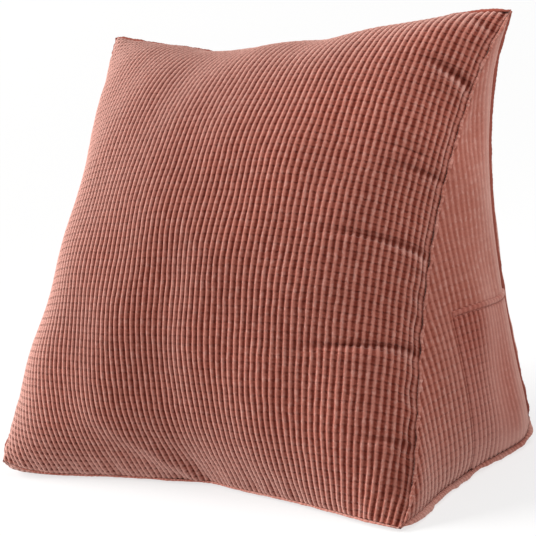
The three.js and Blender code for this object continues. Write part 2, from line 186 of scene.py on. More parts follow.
def spanned(low, high, left, right, u, v):
    """A surface through four seams, u along the low one and v along the left one."""
    low_tips = mix(CORNERS[SEAMS[low].start], CORNERS[SEAMS[low].end], u)
    high_tips = mix(CORNERS[SEAMS[high].start], CORNERS[SEAMS[high].end], u)
    rows = mix(seam_point(low, u), seam_point(high, u), v)
    return rows + mix(seam_point(left, v), seam_point(right, v), u) - mix(low_tips, high_tips, v)


# How full the panels are: their crowns' powers, and where each is highest.
CROWN_POWER = 0.54
WIDTH_POWER = 0.59
FILL_FRONT = 1.4  # a gusset's fullness rises from its front corner by this power
FILL_REAR = 1.5
FILL_FOOT = 5.5
FILL_SLOPE = 3.5
FULLEST = 0.2368  # the largest product of a gusset's four factors
REAR_REACH = 2.3  # power by which the rear seam's bend fades towards the front corner
FOOT_REACH = 0.155
TURN_LEFT = 0.24
TURN_RIGHT = 0.42


def front_surface(u, v):
    rise = FRONT_CROWN * arch(u, 0.466, WIDTH_POWER) * arch(v, 0.512, CROWN_POWER)
    turn = np.clip(1 - v / FOOT_REACH, 0, 1) ** 2 * (TURN_LEFT + u * (TURN_RIGHT - TURN_LEFT))
    level = math.atan2(FRONT_OUT[2], -FRONT_OUT[1]) + turn
    direction = np.stack([0 * level, -np.cos(level), np.sin(level)], -1)
    return spanned("front_foot", "top", "front_left", "front_right", u, v) + rise[..., None] * direction


def back_surface(u, v):
    rise = BACK_CROWN * arch(u, 0.5, WIDTH_POWER) * arch(v, 0.45, CROWN_POWER)
    return spanned("back_foot", "top", "back_left", "back_right", u, v) + rise[..., None] * BACK_OUT


BASE_MARGIN = 0.09  # share of the base that rises to its seams


def base_surface(u, v):
    points = spanned("front_foot", "back_foot", "left_foot", "right_foot", u, v)
    nearest = np.minimum(np.minimum(u, 1 - u) * WIDTH / DEPTH, np.minimum(v, 1 - v))
    points[..., 2] *= np.clip(1 - nearest / BASE_MARGIN, 0, 1) ** 2
    return points


def gusset_surface(side, u, v):
    """u runs from the front corner back to the rear seam, and v from the foot seam up to the front seam."""
    out = RIGHT if side == "right" else LEFT
    rear = "back_" + side
    straight = mix(CORNERS[rear], CORNERS["top_" + side], v)
    drawn = seam_point(rear, v) - straight
    full = u**FILL_FRONT * (1 - u**FILL_REAR) * (1 - (1 - v) ** FILL_FOOT) * (1 - v**FILL_SLOPE) / FULLEST
    flat = mix(seam_point(side + "_foot", u), seam_point("front_" + side, u), v)
    return flat + (u**REAR_REACH)[..., None] * drawn + (GUSSET_CROWN * full)[..., None] * out


class Panel:
    """A surface held as a lattice. With evenly, u and v are shares of the cloth's own length."""

    CELLS = 240

    def __init__(self, surface, facing, evenly):
        self.facing = facing
        self.evenly = evenly
        even = np.linspace(0, 1, self.CELLS + 1)
        t = (1 - np.cos(math.pi * even)) / 2
        u, v = np.meshgrid(t, t, indexing="ij")
        grid = surface(u, v)
        if evenly:
            grid = self.even_lines(grid.transpose(1, 0, 2)).transpose(1, 0, 2)
            grid = self.even_lines(grid)
            u, v = np.meshgrid(even, even, indexing="ij")
        self.u, self.v, self.grid = u, v, grid
        self.normals = self.find_normals()

    @staticmethod
    def even_lines(lines):
        out = np.empty_like(lines)
        wanted = np.linspace(0, 1, lines.shape[1])
        for k, line in enumerate(lines):
            lengths = np.concatenate([[0], np.cumsum(np.linalg.norm(np.diff(line, axis=0), axis=1))])
            share = lengths / lengths[-1]
            for axis in range(3):
                out[k, :, axis] = np.interp(wanted, share, line[:, axis])
        return out

    def find_normals(self):
        along_u = np.gradient(self.grid, axis=0)
        along_v = np.gradient(self.grid, axis=1)
        return unit(np.cross(along_u, along_v)) * self.facing

    def press(self, depth, outward=None):
        """Moves the lattice in by a depth at each place, against its own normals or one direction."""
        outward = self.normals if outward is None else outward
        self.grid = self.grid - depth[..., None] * outward
        self.normals = self.find_normals()

    def cell(self, t):
        t = np.clip(t, 0, 1)
        if not self.evenly:
            t = np.arccos(1 - 2 * t) / math.pi
        scaled = t * self.CELLS
        whole = np.minimum(scaled.astype(int), self.CELLS - 1)
        return whole, (scaled - whole)[..., None]

    def read(self, values, u, v):
        i, s = self.cell(np.asarray(u, float))
        j, t = self.cell(np.asarray(v, float))
        low = values[i, j] * (1 - s) + values[i + 1, j] * s
        high = values[i, j + 1] * (1 - s) + values[i + 1, j + 1] * s
        return low * (1 - t) + high * t

    def outward(self, u, v):
        return unit(self.read(self.normals, u, v))

    def at(self, u, v, out=0.0):
        out = np.broadcast_to(np.asarray(out, float), np.shape(u))
        return self.read(self.grid, u, v) + out[..., None] * self.outward(u, v)


def wander(a, b, reach, seed, waves=9):
    """Smooth uneven ups and downs between about -1 and 1 over a plane, about reach long."""
    draw = np.random.default_rng(seed)
    total = np.zeros(np.shape(a))
    for _ in range(waves):
        angle = draw.uniform(0, 2 * math.pi)
        length = reach * draw.uniform(0.7, 1.5)
        phase = draw.uniform(0, 2 * math.pi)
        total += np.sin(2 * math.pi * (a * math.cos(angle) + b * math.sin(angle)) / length + phase)
    return total / math.sqrt(waves)


# Creases and soft folds on the front, in shares of the panel: from their deep end (u, v) to their faint end
# (u, v), then their depth, half widths above and below in millimetres, and the bulge under them as a share.
# A negative depth is a soft ridge.
FOLDS = [
    (1.000, 0.944, 0.935, 0.962, 6.0, 5.5, 4.0, 0.60),
    (1.000, 0.827, 0.885, 0.853, 8.5, 4.6, 3.4, 0.75),
    (0.940, 0.671, 0.860, 0.672, 2.6, 3.0, 2.6, 0.35),
    (1.000, 0.645, 0.880, 0.635, 4.5, 3.4, 2.4, 0.45),
    (1.000, 0.497, 0.780, 0.500, 5.5, 3.6, 2.4, 0.50),
    (1.000, 0.462, 0.940, 0.456, 3.2, 3.0, 2.6, 0.30),
    (1.000, 0.421, 0.955, 0.416, 3.0, 3.0, 2.6, 0.30),
    (1.000, 0.379, 0.950, 0.374, 3.0, 3.0, 2.6, 0.30),
    (1.000, 0.318, 0.770, 0.290, 5.5, 3.6, 2.4, 0.50),
    (1.000, 0.230, 0.950, 0.226, 2.6, 3.0, 2.6, 0.30),
    (1.000, 0.142, 0.890, 0.148, 4.0, 3.4, 2.4, 0.40),
]
# The same for the soft folds that run up from the foot, with equal sides.
SOFT_FOLDS = [
    (0.985, 0.125, 0.968, 0.030, 3.5, 9.0, 7.0, 0.0),
    (0.500, 0.000, 0.440, 0.090, 2.6, 13.0, 13.0, 0.0),
    (0.488, 0.000, 0.270, 0.175, -3.0, 13.0, 13.0, 0.0),
    (0.455, 0.000, 0.330, 0.085, 1.8, 13.0, 13.0, 0.0),
]
FOLD_START = 14.0  # the folds at the right seam reach their depth this far from it
BULGE_BELOW = 2.1  # the bulge's middle and half width, as shares of the crease's upper half width
BULGE_WIDER = 1.7


def fold_shares(folds, u, v):
    """For each fold: how strong it is at a place, and how far above its line the place is."""
    x, y = u * PANEL_WIDTH, v * PANEL_LENGTH
    for from_u, from_v, to_u, to_v, deep, above, below, bulge in folds:
        start = np.array([from_u * PANEL_WIDTH, from_v * PANEL_LENGTH])
        run = np.array([to_u * PANEL_WIDTH, to_v * PANEL_LENGTH]) - start
        length = np.linalg.norm(run)
        along = ((x - start[0]) * run[0] + (y - start[1]) * run[1]) / length**2
        rise = -(run[0] * (y - start[1]) - run[1] * (x - start[0])) / length
        fade = np.clip(1 - np.clip(along, 0, 1), 0, 1) ** 0.7 * np.exp(-np.clip(-along, 0, None) * 6)
        fade = fade * (0.25 + 0.75 * smooth((1 - u) * PANEL_WIDTH / FOLD_START))
        yield deep * fade, rise, above, below, bulge


def fold_depth(folds, u, v):
    total = np.zeros(np.shape(u))
    for deep, rise, above, below, bulge in fold_shares(folds, u, v):
        half = np.where(rise > 0, above, below)
        trough = np.exp(-((rise / half) ** 2))
        under = bulge * np.exp(-(((rise + BULGE_BELOW * above) / (BULGE_WIDER * above)) ** 2))
        total += deep * (trough - under)
    return total


def fold_shade(u, v):
    """How much painted shade darkens the pile over the folds, from 0 to 1."""
    total = np.zeros(np.shape(u))
    for deep, rise, above, below, bulge in fold_shares(FOLDS, u, v):
        total += np.clip(deep / SHADE_FULL, 0, 1) * bell(rise, SHADE_RISE * above, SHADE_HALF * above)
    return np.clip(total, 0, 1)


SHADE_FULL = 3.2  # a fold this deep gets the full painted shade
SHADE_RISE = 0.2  # middle and half width of the painted dark band over its line, as shares of its upper half width
SHADE_HALF = 0.6
VALLEY = 2.0  # depth of the front's dip beside its right seam
VALLEY_WIDE = 3.2
VALLEY_SHADE = 0.8  # how much painted shade darkens the pile in it, and over what width
SHADE_WIDE = 2.4
CORNER_WIDER = 2.2  # how much wider it grows by the bottom corner


def low_share(v):
    return smooth((0.46 - v) / 0.2)


def seam_valley(u, v):
    """The cloth dips unevenly right beside the seam that is drawn tight, more so lower down."""
    off = (1 - u) * PANEL_WIDTH / (VALLEY_WIDE * (1 + 0.5 * low_share(v)))
    depth = VALLEY * (1 + 0.6 * low_share(v) + 0.45 * wander(v * PANEL_LENGTH, 0 * v, 30.0, 71, 5))
    return depth * off * np.exp(1 - off)


def valley_shade(u, v):
    """How much painted shade darkens the pile in that dip."""
    reach = SHADE_WIDE * (1 + low_share(v) + CORNER_WIDER * smooth((0.24 - v) / 0.1))
    uneven = 1 + 0.5 * wander(v * PANEL_LENGTH, 0 * v, 22.0, 81, 5)
    return VALLEY_SHADE * np.clip(np.exp(-(1 - u) * PANEL_WIDTH / reach) * uneven, 0, 1)


def seam_puckers(u, v, width, length, seed):
    """Small gathers that run in from a panel's four seams and fade."""
    total = np.zeros(np.shape(u))
    for k, (off, along) in enumerate((
        (u * width, v * length),
        ((1 - u) * width, v * length),
        (v * length, u * width),
        ((1 - v) * length, u * width),
    )):
        wave = wander(along, 0.15 * off, 26.0, seed + k, 5)
        total += 0.9 * wave * np.exp(-off / 16.0) * smooth(off / 5.0)
    return total


panels = {
    "front": Panel(front_surface, 1, True),
    "back": Panel(back_surface, -1, True),
    "base": Panel(base_surface, -1, True),
    "right": Panel(lambda u, v: gusset_surface("right", u, v), 1, False),
    "left": Panel(lambda u, v: gusset_surface("left", u, v), -1, False),
}

front = panels["front"]
calm = smooth(np.minimum(np.minimum(front.u, 1 - front.u), np.minimum(front.v, 1 - front.v)) / 0.08)
front.press(fold_depth(FOLDS, front.u, front.v), FOLD_OUT)
front.press(fold_depth(SOFT_FOLDS, front.u, front.v))
front.press(seam_valley(front.u, front.v))
front.press(
    seam_puckers(front.u, front.v, PANEL_WIDTH, PANEL_LENGTH, 11)
    + 1.3 * calm * wander(front.u * PANEL_WIDTH, front.v * PANEL_LENGTH, 95.0, 21)
)
back = panels["back"]
back.press(
    seam_puckers(back.u, back.v, PANEL_WIDTH, SLOPE_HEIGHT, 31)
    + 1.5 * calm * wander(back.u * PANEL_WIDTH, back.v * SLOPE_HEIGHT, 90.0, 41)
)
for seed, side in ((51, "right"), (61, "left")):
    panel = panels[side]
    tall = panel.u * SLOPE_HEIGHT
    edge = np.minimum(np.minimum(panel.v, 1 - panel.v) * tall, (1 - panel.u) * DEPTH)
    panel.press(1.2 * smooth(edge / 30.0) * wander(panel.u * DEPTH, panel.v * tall, 70.0, seed))


class Skin:
    """A mesh under construction: faces, and points. Each point has its place on the cloth in ribs and cuts,
    its painted sheen (above 0) or painted shade (below 0), how flat the ribs are there, and the direction in which it
    stands out."""

    def __init__(self):
        self.points = []
        self.cloth = []
        self.pile = []
        self.faces = []

    def add(self, points, cloth, pile):
        first = len(self.points)
        self.points.extend(np.reshape(points, (-1, 3)).tolist())
        self.cloth.extend(np.reshape(cloth, (-1, 4)).tolist())
        self.pile.extend(np.reshape(np.broadcast_to(pile, np.shape(points)), (-1, 3)).tolist())
        return np.arange(first, len(self.points)).reshape(np.shape(points)[:-1])

    def quads(self, index, flip):
        a, b, c, d = index[:-1, :-1], index[1:, :-1], index[1:, 1:], index[:-1, 1:]
        quads = np.stack([a, d, c, b] if flip else [a, b, c, d], -1)
        self.faces.extend(quads.reshape(-1, 4).tolist())

    def zip(self, first, second, flip):
        """The strip between two lines of points, which may hold different counts."""
        first, second = list(first), list(second)
        p = {k: np.array(self.points[k]) for k in first + second}
        i = j = 0
        while i < len(first) - 1 or j < len(second) - 1:
            take = i < len(first) - 1
            if take and j < len(second) - 1:
                by_first = np.sum((p[first[i + 1]] - p[second[j]]) ** 2)
                by_second = np.sum((p[first[i]] - p[second[j + 1]]) ** 2)
                take = by_first <= by_second
            third = first[i + 1] if take else second[j + 1]
            face = [first[i], third, second[j]]
            if len(set(face)) == 3:
                self.faces.append(face[::-1] if flip else face)
            if take:
                i += 1
            else:
                j += 1

    def build(self, name):
        mesh = bpy.data.meshes.new(name)
        placed = (np.array(self.points) - MIDDLE) * MM
        mesh.from_pydata(placed.tolist(), [], self.faces)
        mesh.validate()
        mesh.shade_smooth()
        cloth = np.array(self.cloth, np.float32)
        for key, values in (("cloth", cloth[:, :3]), ("pile", np.array(self.pile, np.float32))):
            attribute = mesh.attributes.new(key, "FLOAT_VECTOR", "POINT")
            attribute.data.foreach_set("vector", values.ravel())
        mesh.attributes.new("calm", "FLOAT", "POINT").data.foreach_set("value", cloth[:, 3])
        piece = bpy.data.objects.new(name, mesh)
        bpy.context.scene.collection.objects.link(piece)
        return piece


# A rib across its pitch: places from groove to groove, and the height there from 0 to 1.
RIB_PLACES = np.array([0.0, 0.17, 0.33, 0.5, 0.67, 0.83])
RIB_HEIGHTS = np.array([0.0, 0.14, 0.8, 1.0, 0.8, 0.14])


def rib_columns(count, places=RIB_PLACES, heights=RIB_HEIGHTS):
    """Every column's place in ribs, and its height there."""
    at = (np.arange(count)[:, None] + places).ravel()
    return np.append(at, count), np.append(np.tile(heights, count), 0.0)


def eased(count, ease):
    """Shares from 0 to 1, closer together at both ends."""
    t = np.linspace(0, 1, count + 1)
    return (1 - ease) * t + ease * (1 - np.cos(math.pi * t)) / 2


ROW_SHARE = 4.0  # how much closer the rows lie across a fold
ROW_REACH = 5.0  # over this far to either side of it, in millimetres


def fold_rows(u, count):
    """Rows from v = 0 to 1 for every column of the front, closer together where a fold crosses it."""
    fine = np.linspace(0, 1, 900)
    rows = np.empty((len(u), count + 1))
    for k, place in enumerate(u):
        dense = np.ones_like(fine) + 2.0 * (bell(fine, 0, 0.012) + bell(fine, 1, 0.012))
        for from_u, from_v, to_u, to_v, deep, above, below, bulge in FOLDS:
            along = (place - from_u) / (to_u - from_u)
            line = from_v + along * (to_v - from_v)
            if -0.3 < along < 1.3 and abs(to_u - from_u) > abs(to_v - from_v):
                share = ROW_SHARE * smooth((1.3 - along) / 0.5) * smooth((0.3 + along) / 0.3)
                dense += share * bell((fine - line) * PANEL_LENGTH, 0, ROW_REACH)
        summed = np.concatenate([[0], np.cumsum((dense[1:] + dense[:-1]) / 2)])
        rows[k] = np.interp(np.linspace(0, 1, count + 1), summed / summed[-1], fine)
    return rows


cover = Skin()
edges = {}
ROOT_APART = 1.1  # a panel's edge stands this far from its seam's own line
FRONT_ROWS = 126
BACK_ROWS = 34
GUSSET_ROWS = 40
BASE_ROWS = 16


def keep_edges(name, index, low, high, left, right):
    edges[name, low] = index[:, 0]
    edges[name, high] = index[:, -1]
    edges[name, left] = index[0]
    edges[name, right] = index[-1]


def rib_fade(u, v):
    """Ribs sink a little where they run into a seam, and lie flatter towards both sides."""
    nearest = np.minimum(np.minimum(u, 1 - u), np.minimum(v, 1 - v))
    sides = 0.3 * smooth((u - 0.5) / 0.4) + 0.5 * smooth((0.42 - u) / 0.4)
    return (0.35 + 0.65 * smooth(nearest / 0.012)) * (1 - sides)


def strayed(panel, width, length, ribs, u, v, lift, seed):
    """Points of a ribbed panel whose ribs sway and swell a little, each in its own way."""
    rib = np.floor(u * ribs * 0.9999) * 37.0
    inner = smooth(np.minimum(np.minimum(u, 1 - u), np.minimum(v, 1 - v)) / 0.02)
    sway = SWAY * inner * (wander(rib, v * length, 21.0, seed, 7) + wander(u * width, v * length, 30.0, seed + 1, 7))
    swell = 1 + UNEVEN * wander(rib, v * length, 13.0, seed + 2, 7)
    return panel.at(np.clip(u + sway / width, 0, 1), v, lift * swell)


def square_panel(name, low, high, left, right, rows, length, places=RIB_PLACES, heights=RIB_HEIGHTS):
    panel = panels[name]
    at, height = rib_columns(RIBS, places, heights)
    u = np.repeat(at[:, None] / RIBS, rows + 1, 1)
    v = fold_rows(at / RIBS, rows) if name == "front" else np.tile(eased(rows, 0.35), (len(at), 1))
    lift = RIB_RELIEF * (height[:, None] - 0.5) * rib_fade(u, v)
    # Painted sheen above 0 and painted shade below 0, carried to the material in the cloth's third channel.
    sheen_and_shade = front_painted_sheen(u, v)
    if name == "front":
        sheen_and_shade = sheen_and_shade - fold_shade(u, v) - valley_shade(u, v)
    cloth = np.stack([u * RIBS, v * length / CUT_PITCH, sheen_and_shade, 0 * u], -1)
    points = strayed(panel, PANEL_WIDTH, length, RIBS, u, v, lift, 201 if name == "front" else 211)
    index = cover.add(points, cloth, panel.outward(u, v))
    cover.quads(index, panel.facing < 0)
    keep_edges(name, index, low, high, left, right)


def front_painted_sheen(u, v):
    """Where the square panels' pile is painted lighter, a painted sheen that also softens the ribs' marks: beside the
    left seam, the top seam and the foot.
    """
    left = np.exp(-u * PANEL_WIDTH / 42.0)
    top = 0.5 * (1 - u) ** 0.5 * np.exp(-(1 - v) * PANEL_LENGTH / 24.0)
    foot = 0.9 * (1 - u) * np.exp(-v * PANEL_LENGTH / 36.0)
    return np.clip(left + top + foot, 0, 1)


square_panel("front", "front_foot", "top", "front_left", "front_right", FRONT_ROWS, PANEL_LENGTH)
square_panel("back", "back_foot", "top", "back_left", "back_right", BACK_ROWS, SLOPE_HEIGHT,
             RIB_PLACES[[0, 1, 3, 5]], RIB_HEIGHTS[[0, 1, 3, 5]])


def base_panel():
    panel = panels["base"]
    at = np.linspace(0, RIBS, 2 * RIBS + 1)
    u, v = np.meshgrid(at / RIBS, eased(BASE_ROWS, 0.5), indexing="ij")
    cloth = np.stack([u * RIBS, v * DEPTH / CUT_PITCH, 0 * u, 0 * u], -1)
    index = cover.add(panel.at(u, v), cloth, -UP)
    cover.quads(index, panel.facing < 0)
    keep_edges("base", index, "front_foot", "back_foot", "left_foot", "right_foot")


base_panel()

# The pocket's place on the right gusset, in the cloth's own sizes: back from the front corner, and up.
POCKET_FRONT = 114.0
POCKET_REAR = DEPTH - 4.0
POCKET_FOOT = 3.5
POCKET_TOP = 134.0
POCKET_GAP = -0.5  # its inner side off the gusset's middle surface, over the flattened ribs
POCKET_CLOTH = 1.0  # thickness in a groove of its ribs
POCKET_RELIEF = 1.0
POCKET_CALM = 0.5
HEM_CALM = 0.9
POCKET_MARGIN = 6.0
HEM_WIDE = 5.0
HEM_THICK = 2.3
FRONT_SPREAD = 0.035  # the pocket's ribs lie wider apart near its front edge


REAR_FROM = 0.55  # a gusset's ribs flatten from this share of its depth, over the share below
REAR_WIDE = 0.3
REAR_FLAT = 0.45
# painted sheen that lightens the gusset's pile towards its rear
REAR_SHEEN = 0.3
TOP_CALM = 0.75  # how flat a gusset's ribs look at its top, its foot and its rear
FOOT_CALM = 0.4
REAR_CALM = 1.0
FOOT_SHADE = 0.7  # how much painted shade darkens the pile over a foot seam, and over what height
FOOT_SHADE_TALL = 3.0


def gusset_panel(side):
    panel = panels[side]
    corner = cover.add(CORNERS["front_" + side][None], [[0, 0, 0, 0]], panel.outward(np.array(0.1), np.array(0.5)))[0]
    at, height = rib_columns(GUSSET_RIBS)
    at, height = at[3:], height[3:]
    u, v = np.meshgrid(at / GUSSET_RIBS, eased(GUSSET_ROWS, 0.4), indexing="ij")
    tall = u * SLOPE_HEIGHT
    nearest = np.minimum(np.minimum(v, 1 - v) * tall, (1 - u) * DEPTH)
    share = (0.3 + 0.7 * smooth(nearest / 5.0)) * (height[:, None] - 0.5)
    if side == "right":
        behind = smooth((u * DEPTH - POCKET_FRONT + POCKET_MARGIN) / POCKET_MARGIN)
        behind = behind * smooth((POCKET_TOP + POCKET_MARGIN - v * tall) / POCKET_MARGIN)
        share = share * (1 - behind) - 0.5 * behind
    rear = smooth((u - REAR_FROM) / REAR_WIDE)
    sheen_and_shade = REAR_SHEEN * rear - FOOT_SHADE * np.exp(-v * tall / FOOT_SHADE_TALL)
    calm = mixed(mixed(FOOT_CALM, TOP_CALM, smooth(v * tall / (0.6 * SLOPE_HEIGHT))), REAR_CALM, rear)
    cloth = np.stack([u * GUSSET_RIBS, v * tall / CUT_PITCH, sheen_and_shade, calm], -1)
    lift = GUSSET_RELIEF * (1 - REAR_FLAT * rear) * share
    points = strayed(panel, DEPTH, SLOPE_HEIGHT, GUSSET_RIBS, u, v, lift, 221 if side == "right" else 231)
    index = cover.add(points, cloth, panel.outward(u, v))
    flip = panel.facing < 0
    cover.quads(index, flip)
    cover.zip(index[0], [corner], flip)
    edges[side, side + "_foot"] = np.concatenate([[corner], index[:, 0]])
    edges[side, "front_" + side] = np.concatenate([[corner], index[:, -1]])
    edges[side, "back_" + side] = index[-1]


gusset_panel("right")
gusset_panel("left")


def join_panels():
    """Draws each panel's edges a little way off their seam, and closes the strips between them."""
    points = np.array(cover.points)
    shift = np.zeros_like(points)
    middle = {name: panel.at(np.array(0.5), np.array(0.5)) for name, panel in panels.items()}
    for name, seam in SEAMS.items():
        for panel in (seam.first, seam.second):
            index = edges[panel, name]
            towards = middle[panel] - points[index].mean(0)
            towards = unit(towards - (towards @ seam.lip) * seam.lip)
            shift[index] = shift[index] + towards * ROOT_APART
    points = points + shift
    points[:, 2] = np.maximum(points[:, 2], 0.0)
    cover.points = points.tolist()
    for name, seam in SEAMS.items():
        one, other = edges[seam.first, name], edges[seam.second, name]
        p = np.array([cover.points[one[len(one) // 2]], cover.points[other[len(other) // 2]]])
        along = CORNERS[seam.end] - CORNERS[seam.start]
        flip = np.dot(np.cross(along, p[1] - p[0]), seam.lip) > 0
        cover.zip(one, other, flip)


join_panels()
cushion = cover.build("cushion_cover")

# The lip along each seam: the seam allowances, rolled up into a narrow uneven band.
LIP_STEP = 1.1
LIP_TIP = 0.15  # how much of a lip is left at its ends, and at the top's corners
LIP_TIPS = {"top_left": 0.5, "top_right": 0.5}
LIP_PITCH = 3.7  # of the ribs that cross the lips
LIP_RELIEF = 0.12
LIP_UNCUT = 0.25  # a place between the cuts
LIP_SHADE = 0.92  # the other lips are painted the groove's dark colour all along, a painted shade on the outline
# How much painted sheen lightens each kind of lip, then how flat its ribs look.
LIP_SHEEN = {"front": 0.8, "back": 0.0, "base": 0.0}
LIP_CALM = {"front": 1.0, "back": 0.0, "base": 0.75}
EAR_REACH = 14.0  # the lips turn towards the corner's tip over this length
# Out from the seam as a share of its reach, and half thickness as a share of half its thickness.
LIP_SECTION = [(-0.35, 0.7), (0.25, 1.0), (0.6, 1.0), (0.88, 0.7), (1.0, 0.0)]


def sweep_lip(skin, name, seed):
    seam = SEAMS[name]
    fine = seam_point(name, np.linspace(0, 1, 600))
    lengths = np.concatenate([[0], np.cumsum(np.linalg.norm(np.diff(fine, axis=0), axis=1))])
    total = lengths[-1]
    s = np.linspace(0, total, int(total / LIP_STEP) + 1)
    line = seam_point(name, np.interp(s, lengths, np.linspace(0, 1, 600)))
    along = unit(np.gradient(line, axis=0))
    out = np.tile(seam.lip, (len(s), 1))
    for corner, away in ((seam.start, s), (seam.end, total - s)):
        turn = np.exp(-((away / EAR_REACH) ** 2))[:, None]
        out = out * (1 - turn) + unit(CORNERS[corner] - INSIDE) * turn
    out = unit(out - np.sum(out * along, 1)[:, None] * along)
    lean = 0.22 * wander(s, 0 * s, 44.0, seed, 5)[:, None]
    out = unit(out + lean * np.cross(along, out))
    side = np.cross(along, out)
    line = line + seam.knob * smooth(np.minimum(s, total - s) / 20.0)[:, None] * (
        wander(s, 0 * s, 17.0, seed + 40, 5)[:, None] * side
    )
    uneven = 1 + 0.12 * wander(s, 0 * s, 19.0, seed + 1, 5)
    across = s / LIP_PITCH + 0.35 * wander(s, 0 * s, 15.0, seed + 3, 5)
    knob = seam.knob * wander(s, 0 * s, 1.6 * LIP_PITCH, seed + 2, 6) - LIP_RELIEF * np.cos(2 * math.pi * across)
    least = np.where(s < total / 2, LIP_TIPS.get(seam.start, LIP_TIP), LIP_TIPS.get(seam.end, LIP_TIP))
    ends = least + (1 - least) * smooth(np.minimum(s, total - s) / 18.0)
    kind = "base" if seam.second == "base" else "front" if name == "front_right" else "back"
    # Lips other than the feet and the front's right seam are painted dark all along, a painted shade.
    shown = np.full_like(s, LIP_SHADE) if kind == "back" else across
    mark = np.stack([shown, 0 * s + LIP_UNCUT, 0 * s + LIP_SHEEN[kind], 0 * s + LIP_CALM[kind]], -1)
    rows = []
    for k, (a, b) in enumerate(LIP_SECTION + [(a, -b) for a, b in LIP_SECTION[-2::-1]]):
        reach = seam.reach * a * uneven * ends + (knob if a > 0.5 else 0.3 * knob)
        thick = 0.5 * seam.thick * b * uneven * ends + np.sign(b) * 0.5 * knob
        rows.append(line + reach[:, None] * out + thick[:, None] * side)
    grid = np.stack(rows + [rows[0]], 1)
    grid[..., 2] = np.maximum(grid[..., 2], 0.0)
    index = skin.add(grid, np.repeat(mark[:, None], grid.shape[1], 1), out[:, None])
    index[:, -1] = index[:, 0]
    skin.quads(index, False)
    skin.faces.append(index[0, :-1].tolist())
    skin.faces.append(index[-1, :-1][::-1].tolist())


lips_skin = Skin()
for number, seam_name in enumerate(SEAMS):
    sweep_lip(lips_skin, seam_name, 100 + 3 * number)
lips = lips_skin.build("seam_lips")


def pocket_panel():
    """The pocket: a ribbed sheet on the gusset, its front edge turned under and its top turned to a hem."""
    skin = Skin()
    panel = panels["right"]
    wide = POCKET_REAR - POCKET_FRONT
    tall = POCKET_TOP - POCKET_FOOT
    ribs = round(wide / RIB_PITCH)
    at, height = rib_columns(ribs)
    below = np.linspace(0, tall - HEM_WIDE, 40)
    turn = np.linspace(0, math.pi / 2, 5)[1:]
    hem = [(tall - HEM_WIDE + 0.6, 0.5), (tall - HEM_WIDE + 1.3, HEM_THICK * 0.8), (tall - 2.9, HEM_THICK),
           (tall - 2.0, HEM_THICK)]
    hem += [(tall - 2.0 + 2.0 * math.sin(a), 0.2 + (HEM_THICK - 0.2) * math.cos(a)) for a in turn]
    ups = np.concatenate([below, [z for z, _ in hem]])
    outs = np.concatenate([np.full(len(below), POCKET_CLOTH), [o for _, o in hem]])
    ribbed = np.concatenate([np.ones(len(below)), [0.15] * 4, np.linspace(0.12, 0, 4)])
    ribbed[len(below) - 1] = 0.3
    share = at / ribs
    share = share + FRONT_SPREAD * np.sin(math.pi * share)
    y, z = np.meshgrid(POCKET_FRONT + share * wide, POCKET_FOOT + ups, indexing="ij")
    front_edge = smooth((y - POCKET_FRONT) / 4.0)
    rim = np.exp(-(((y - POCKET_FRONT - 2.6) / 2.6) ** 2)) * 0.15
    rear = smooth((share - 0.25) / 0.35)[:, None] + 0 * z
    relief = POCKET_RELIEF * (1 - 0.6 * rear) * height[:, None] * ribbed[None]
    out = POCKET_GAP + 0.2 + (outs[None] - 0.2 + relief + rim) * front_edge
    u = y / DEPTH
    v = z / (u * SLOPE_HEIGHT)
    calm = np.maximum(mixed(POCKET_CALM, REAR_CALM, rear), HEM_CALM * smooth((z - POCKET_TOP + HEM_WIDE) / 0.6))
    cloth = np.stack([at[:, None] + 0 * z, z / CUT_PITCH, 0 * z, calm], -1)
    outer = skin.add(panel.at(u, v, out), cloth, panel.outward(u, v))
    inner = skin.add(panel.at(u, v, POCKET_GAP), cloth, panel.outward(u, v))
    skin.quads(outer, False)
    skin.quads(inner, True)
    skin.zip(outer[0], inner[0], False)
    skin.zip(inner[-1], outer[-1], False)
    skin.zip(inner[:, 0], outer[:, 0], False)
    skin.zip(outer[:, -1], inner[:, -1], False)
    return skin.build("side_pocket_cloth")


pocket = pocket_panel()


def thread_line(skin, points, outs, length, radius):
    """Short stitches along a line of points, each a small rounded bar just off the cloth."""
    lengths = np.concatenate([[0], np.cumsum(np.linalg.norm(np.diff(points, axis=0), axis=1))])
    count = int(lengths[-1] / STITCH_PITCH)
    for k in range(count):
        middle = (k + 0.5) * lengths[-1] / count
        ends = [np.array([np.interp(middle + d, lengths, points[:, a]) for a in range(3)])
                for d in (-length / 2, length / 2)]
        out = unit(np.array([np.interp(middle, lengths, outs[:, a]) for a in range(3)]))
        along = unit(ends[1] - ends[0])
        side = np.cross(along, out)
        rings = []
        for share, thin, drop in ((0.0, 0.3, 1.0), (0.18, 0.85, 0.25), (0.5, 1.0, 0.0), (0.82, 0.85, 0.25),
                                  (1.0, 0.3, 1.0)):
            centre = ends[0] * (1 - share) + ends[1] * share - out * radius * drop
            angles = np.arange(5) / 5 * 2 * math.pi
            ring = centre + radius * thin * (np.cos(angles)[:, None] * side + np.sin(angles)[:, None] * out)
            rings.append(np.concatenate([ring, ring[:1]]))
        grid = np.stack(rings)
        index = skin.add(grid, np.zeros(grid.shape[:-1] + (4,)), out)
        index[:, -1] = index[:, 0]
        skin.quads(index, True)
        skin.faces.append(index[0, :-1].tolist())
        skin.faces.append(index[-1, :-1][::-1].tolist())


STITCH_PITCH = 3.4
STITCH_LENGTH = 2.3
STITCH_RADIUS = 0.3


def stitch_lines():
    skin = Skin()
    panel = panels["right"]
    y = np.linspace(POCKET_FRONT + 2, POCKET_REAR - 1, 120)
    z = np.full_like(y, POCKET_TOP - HEM_WIDE + 0.3)
    u = y / DEPTH
    v = z / (u * SLOPE_HEIGHT)
    off = POCKET_GAP + 1.5
    thread_line(skin, panel.at(u, v, off), panel.read(panel.normals, u, v), STITCH_LENGTH, STITCH_RADIUS)
    return skin.build("stitches")


stitches = stitch_lines()


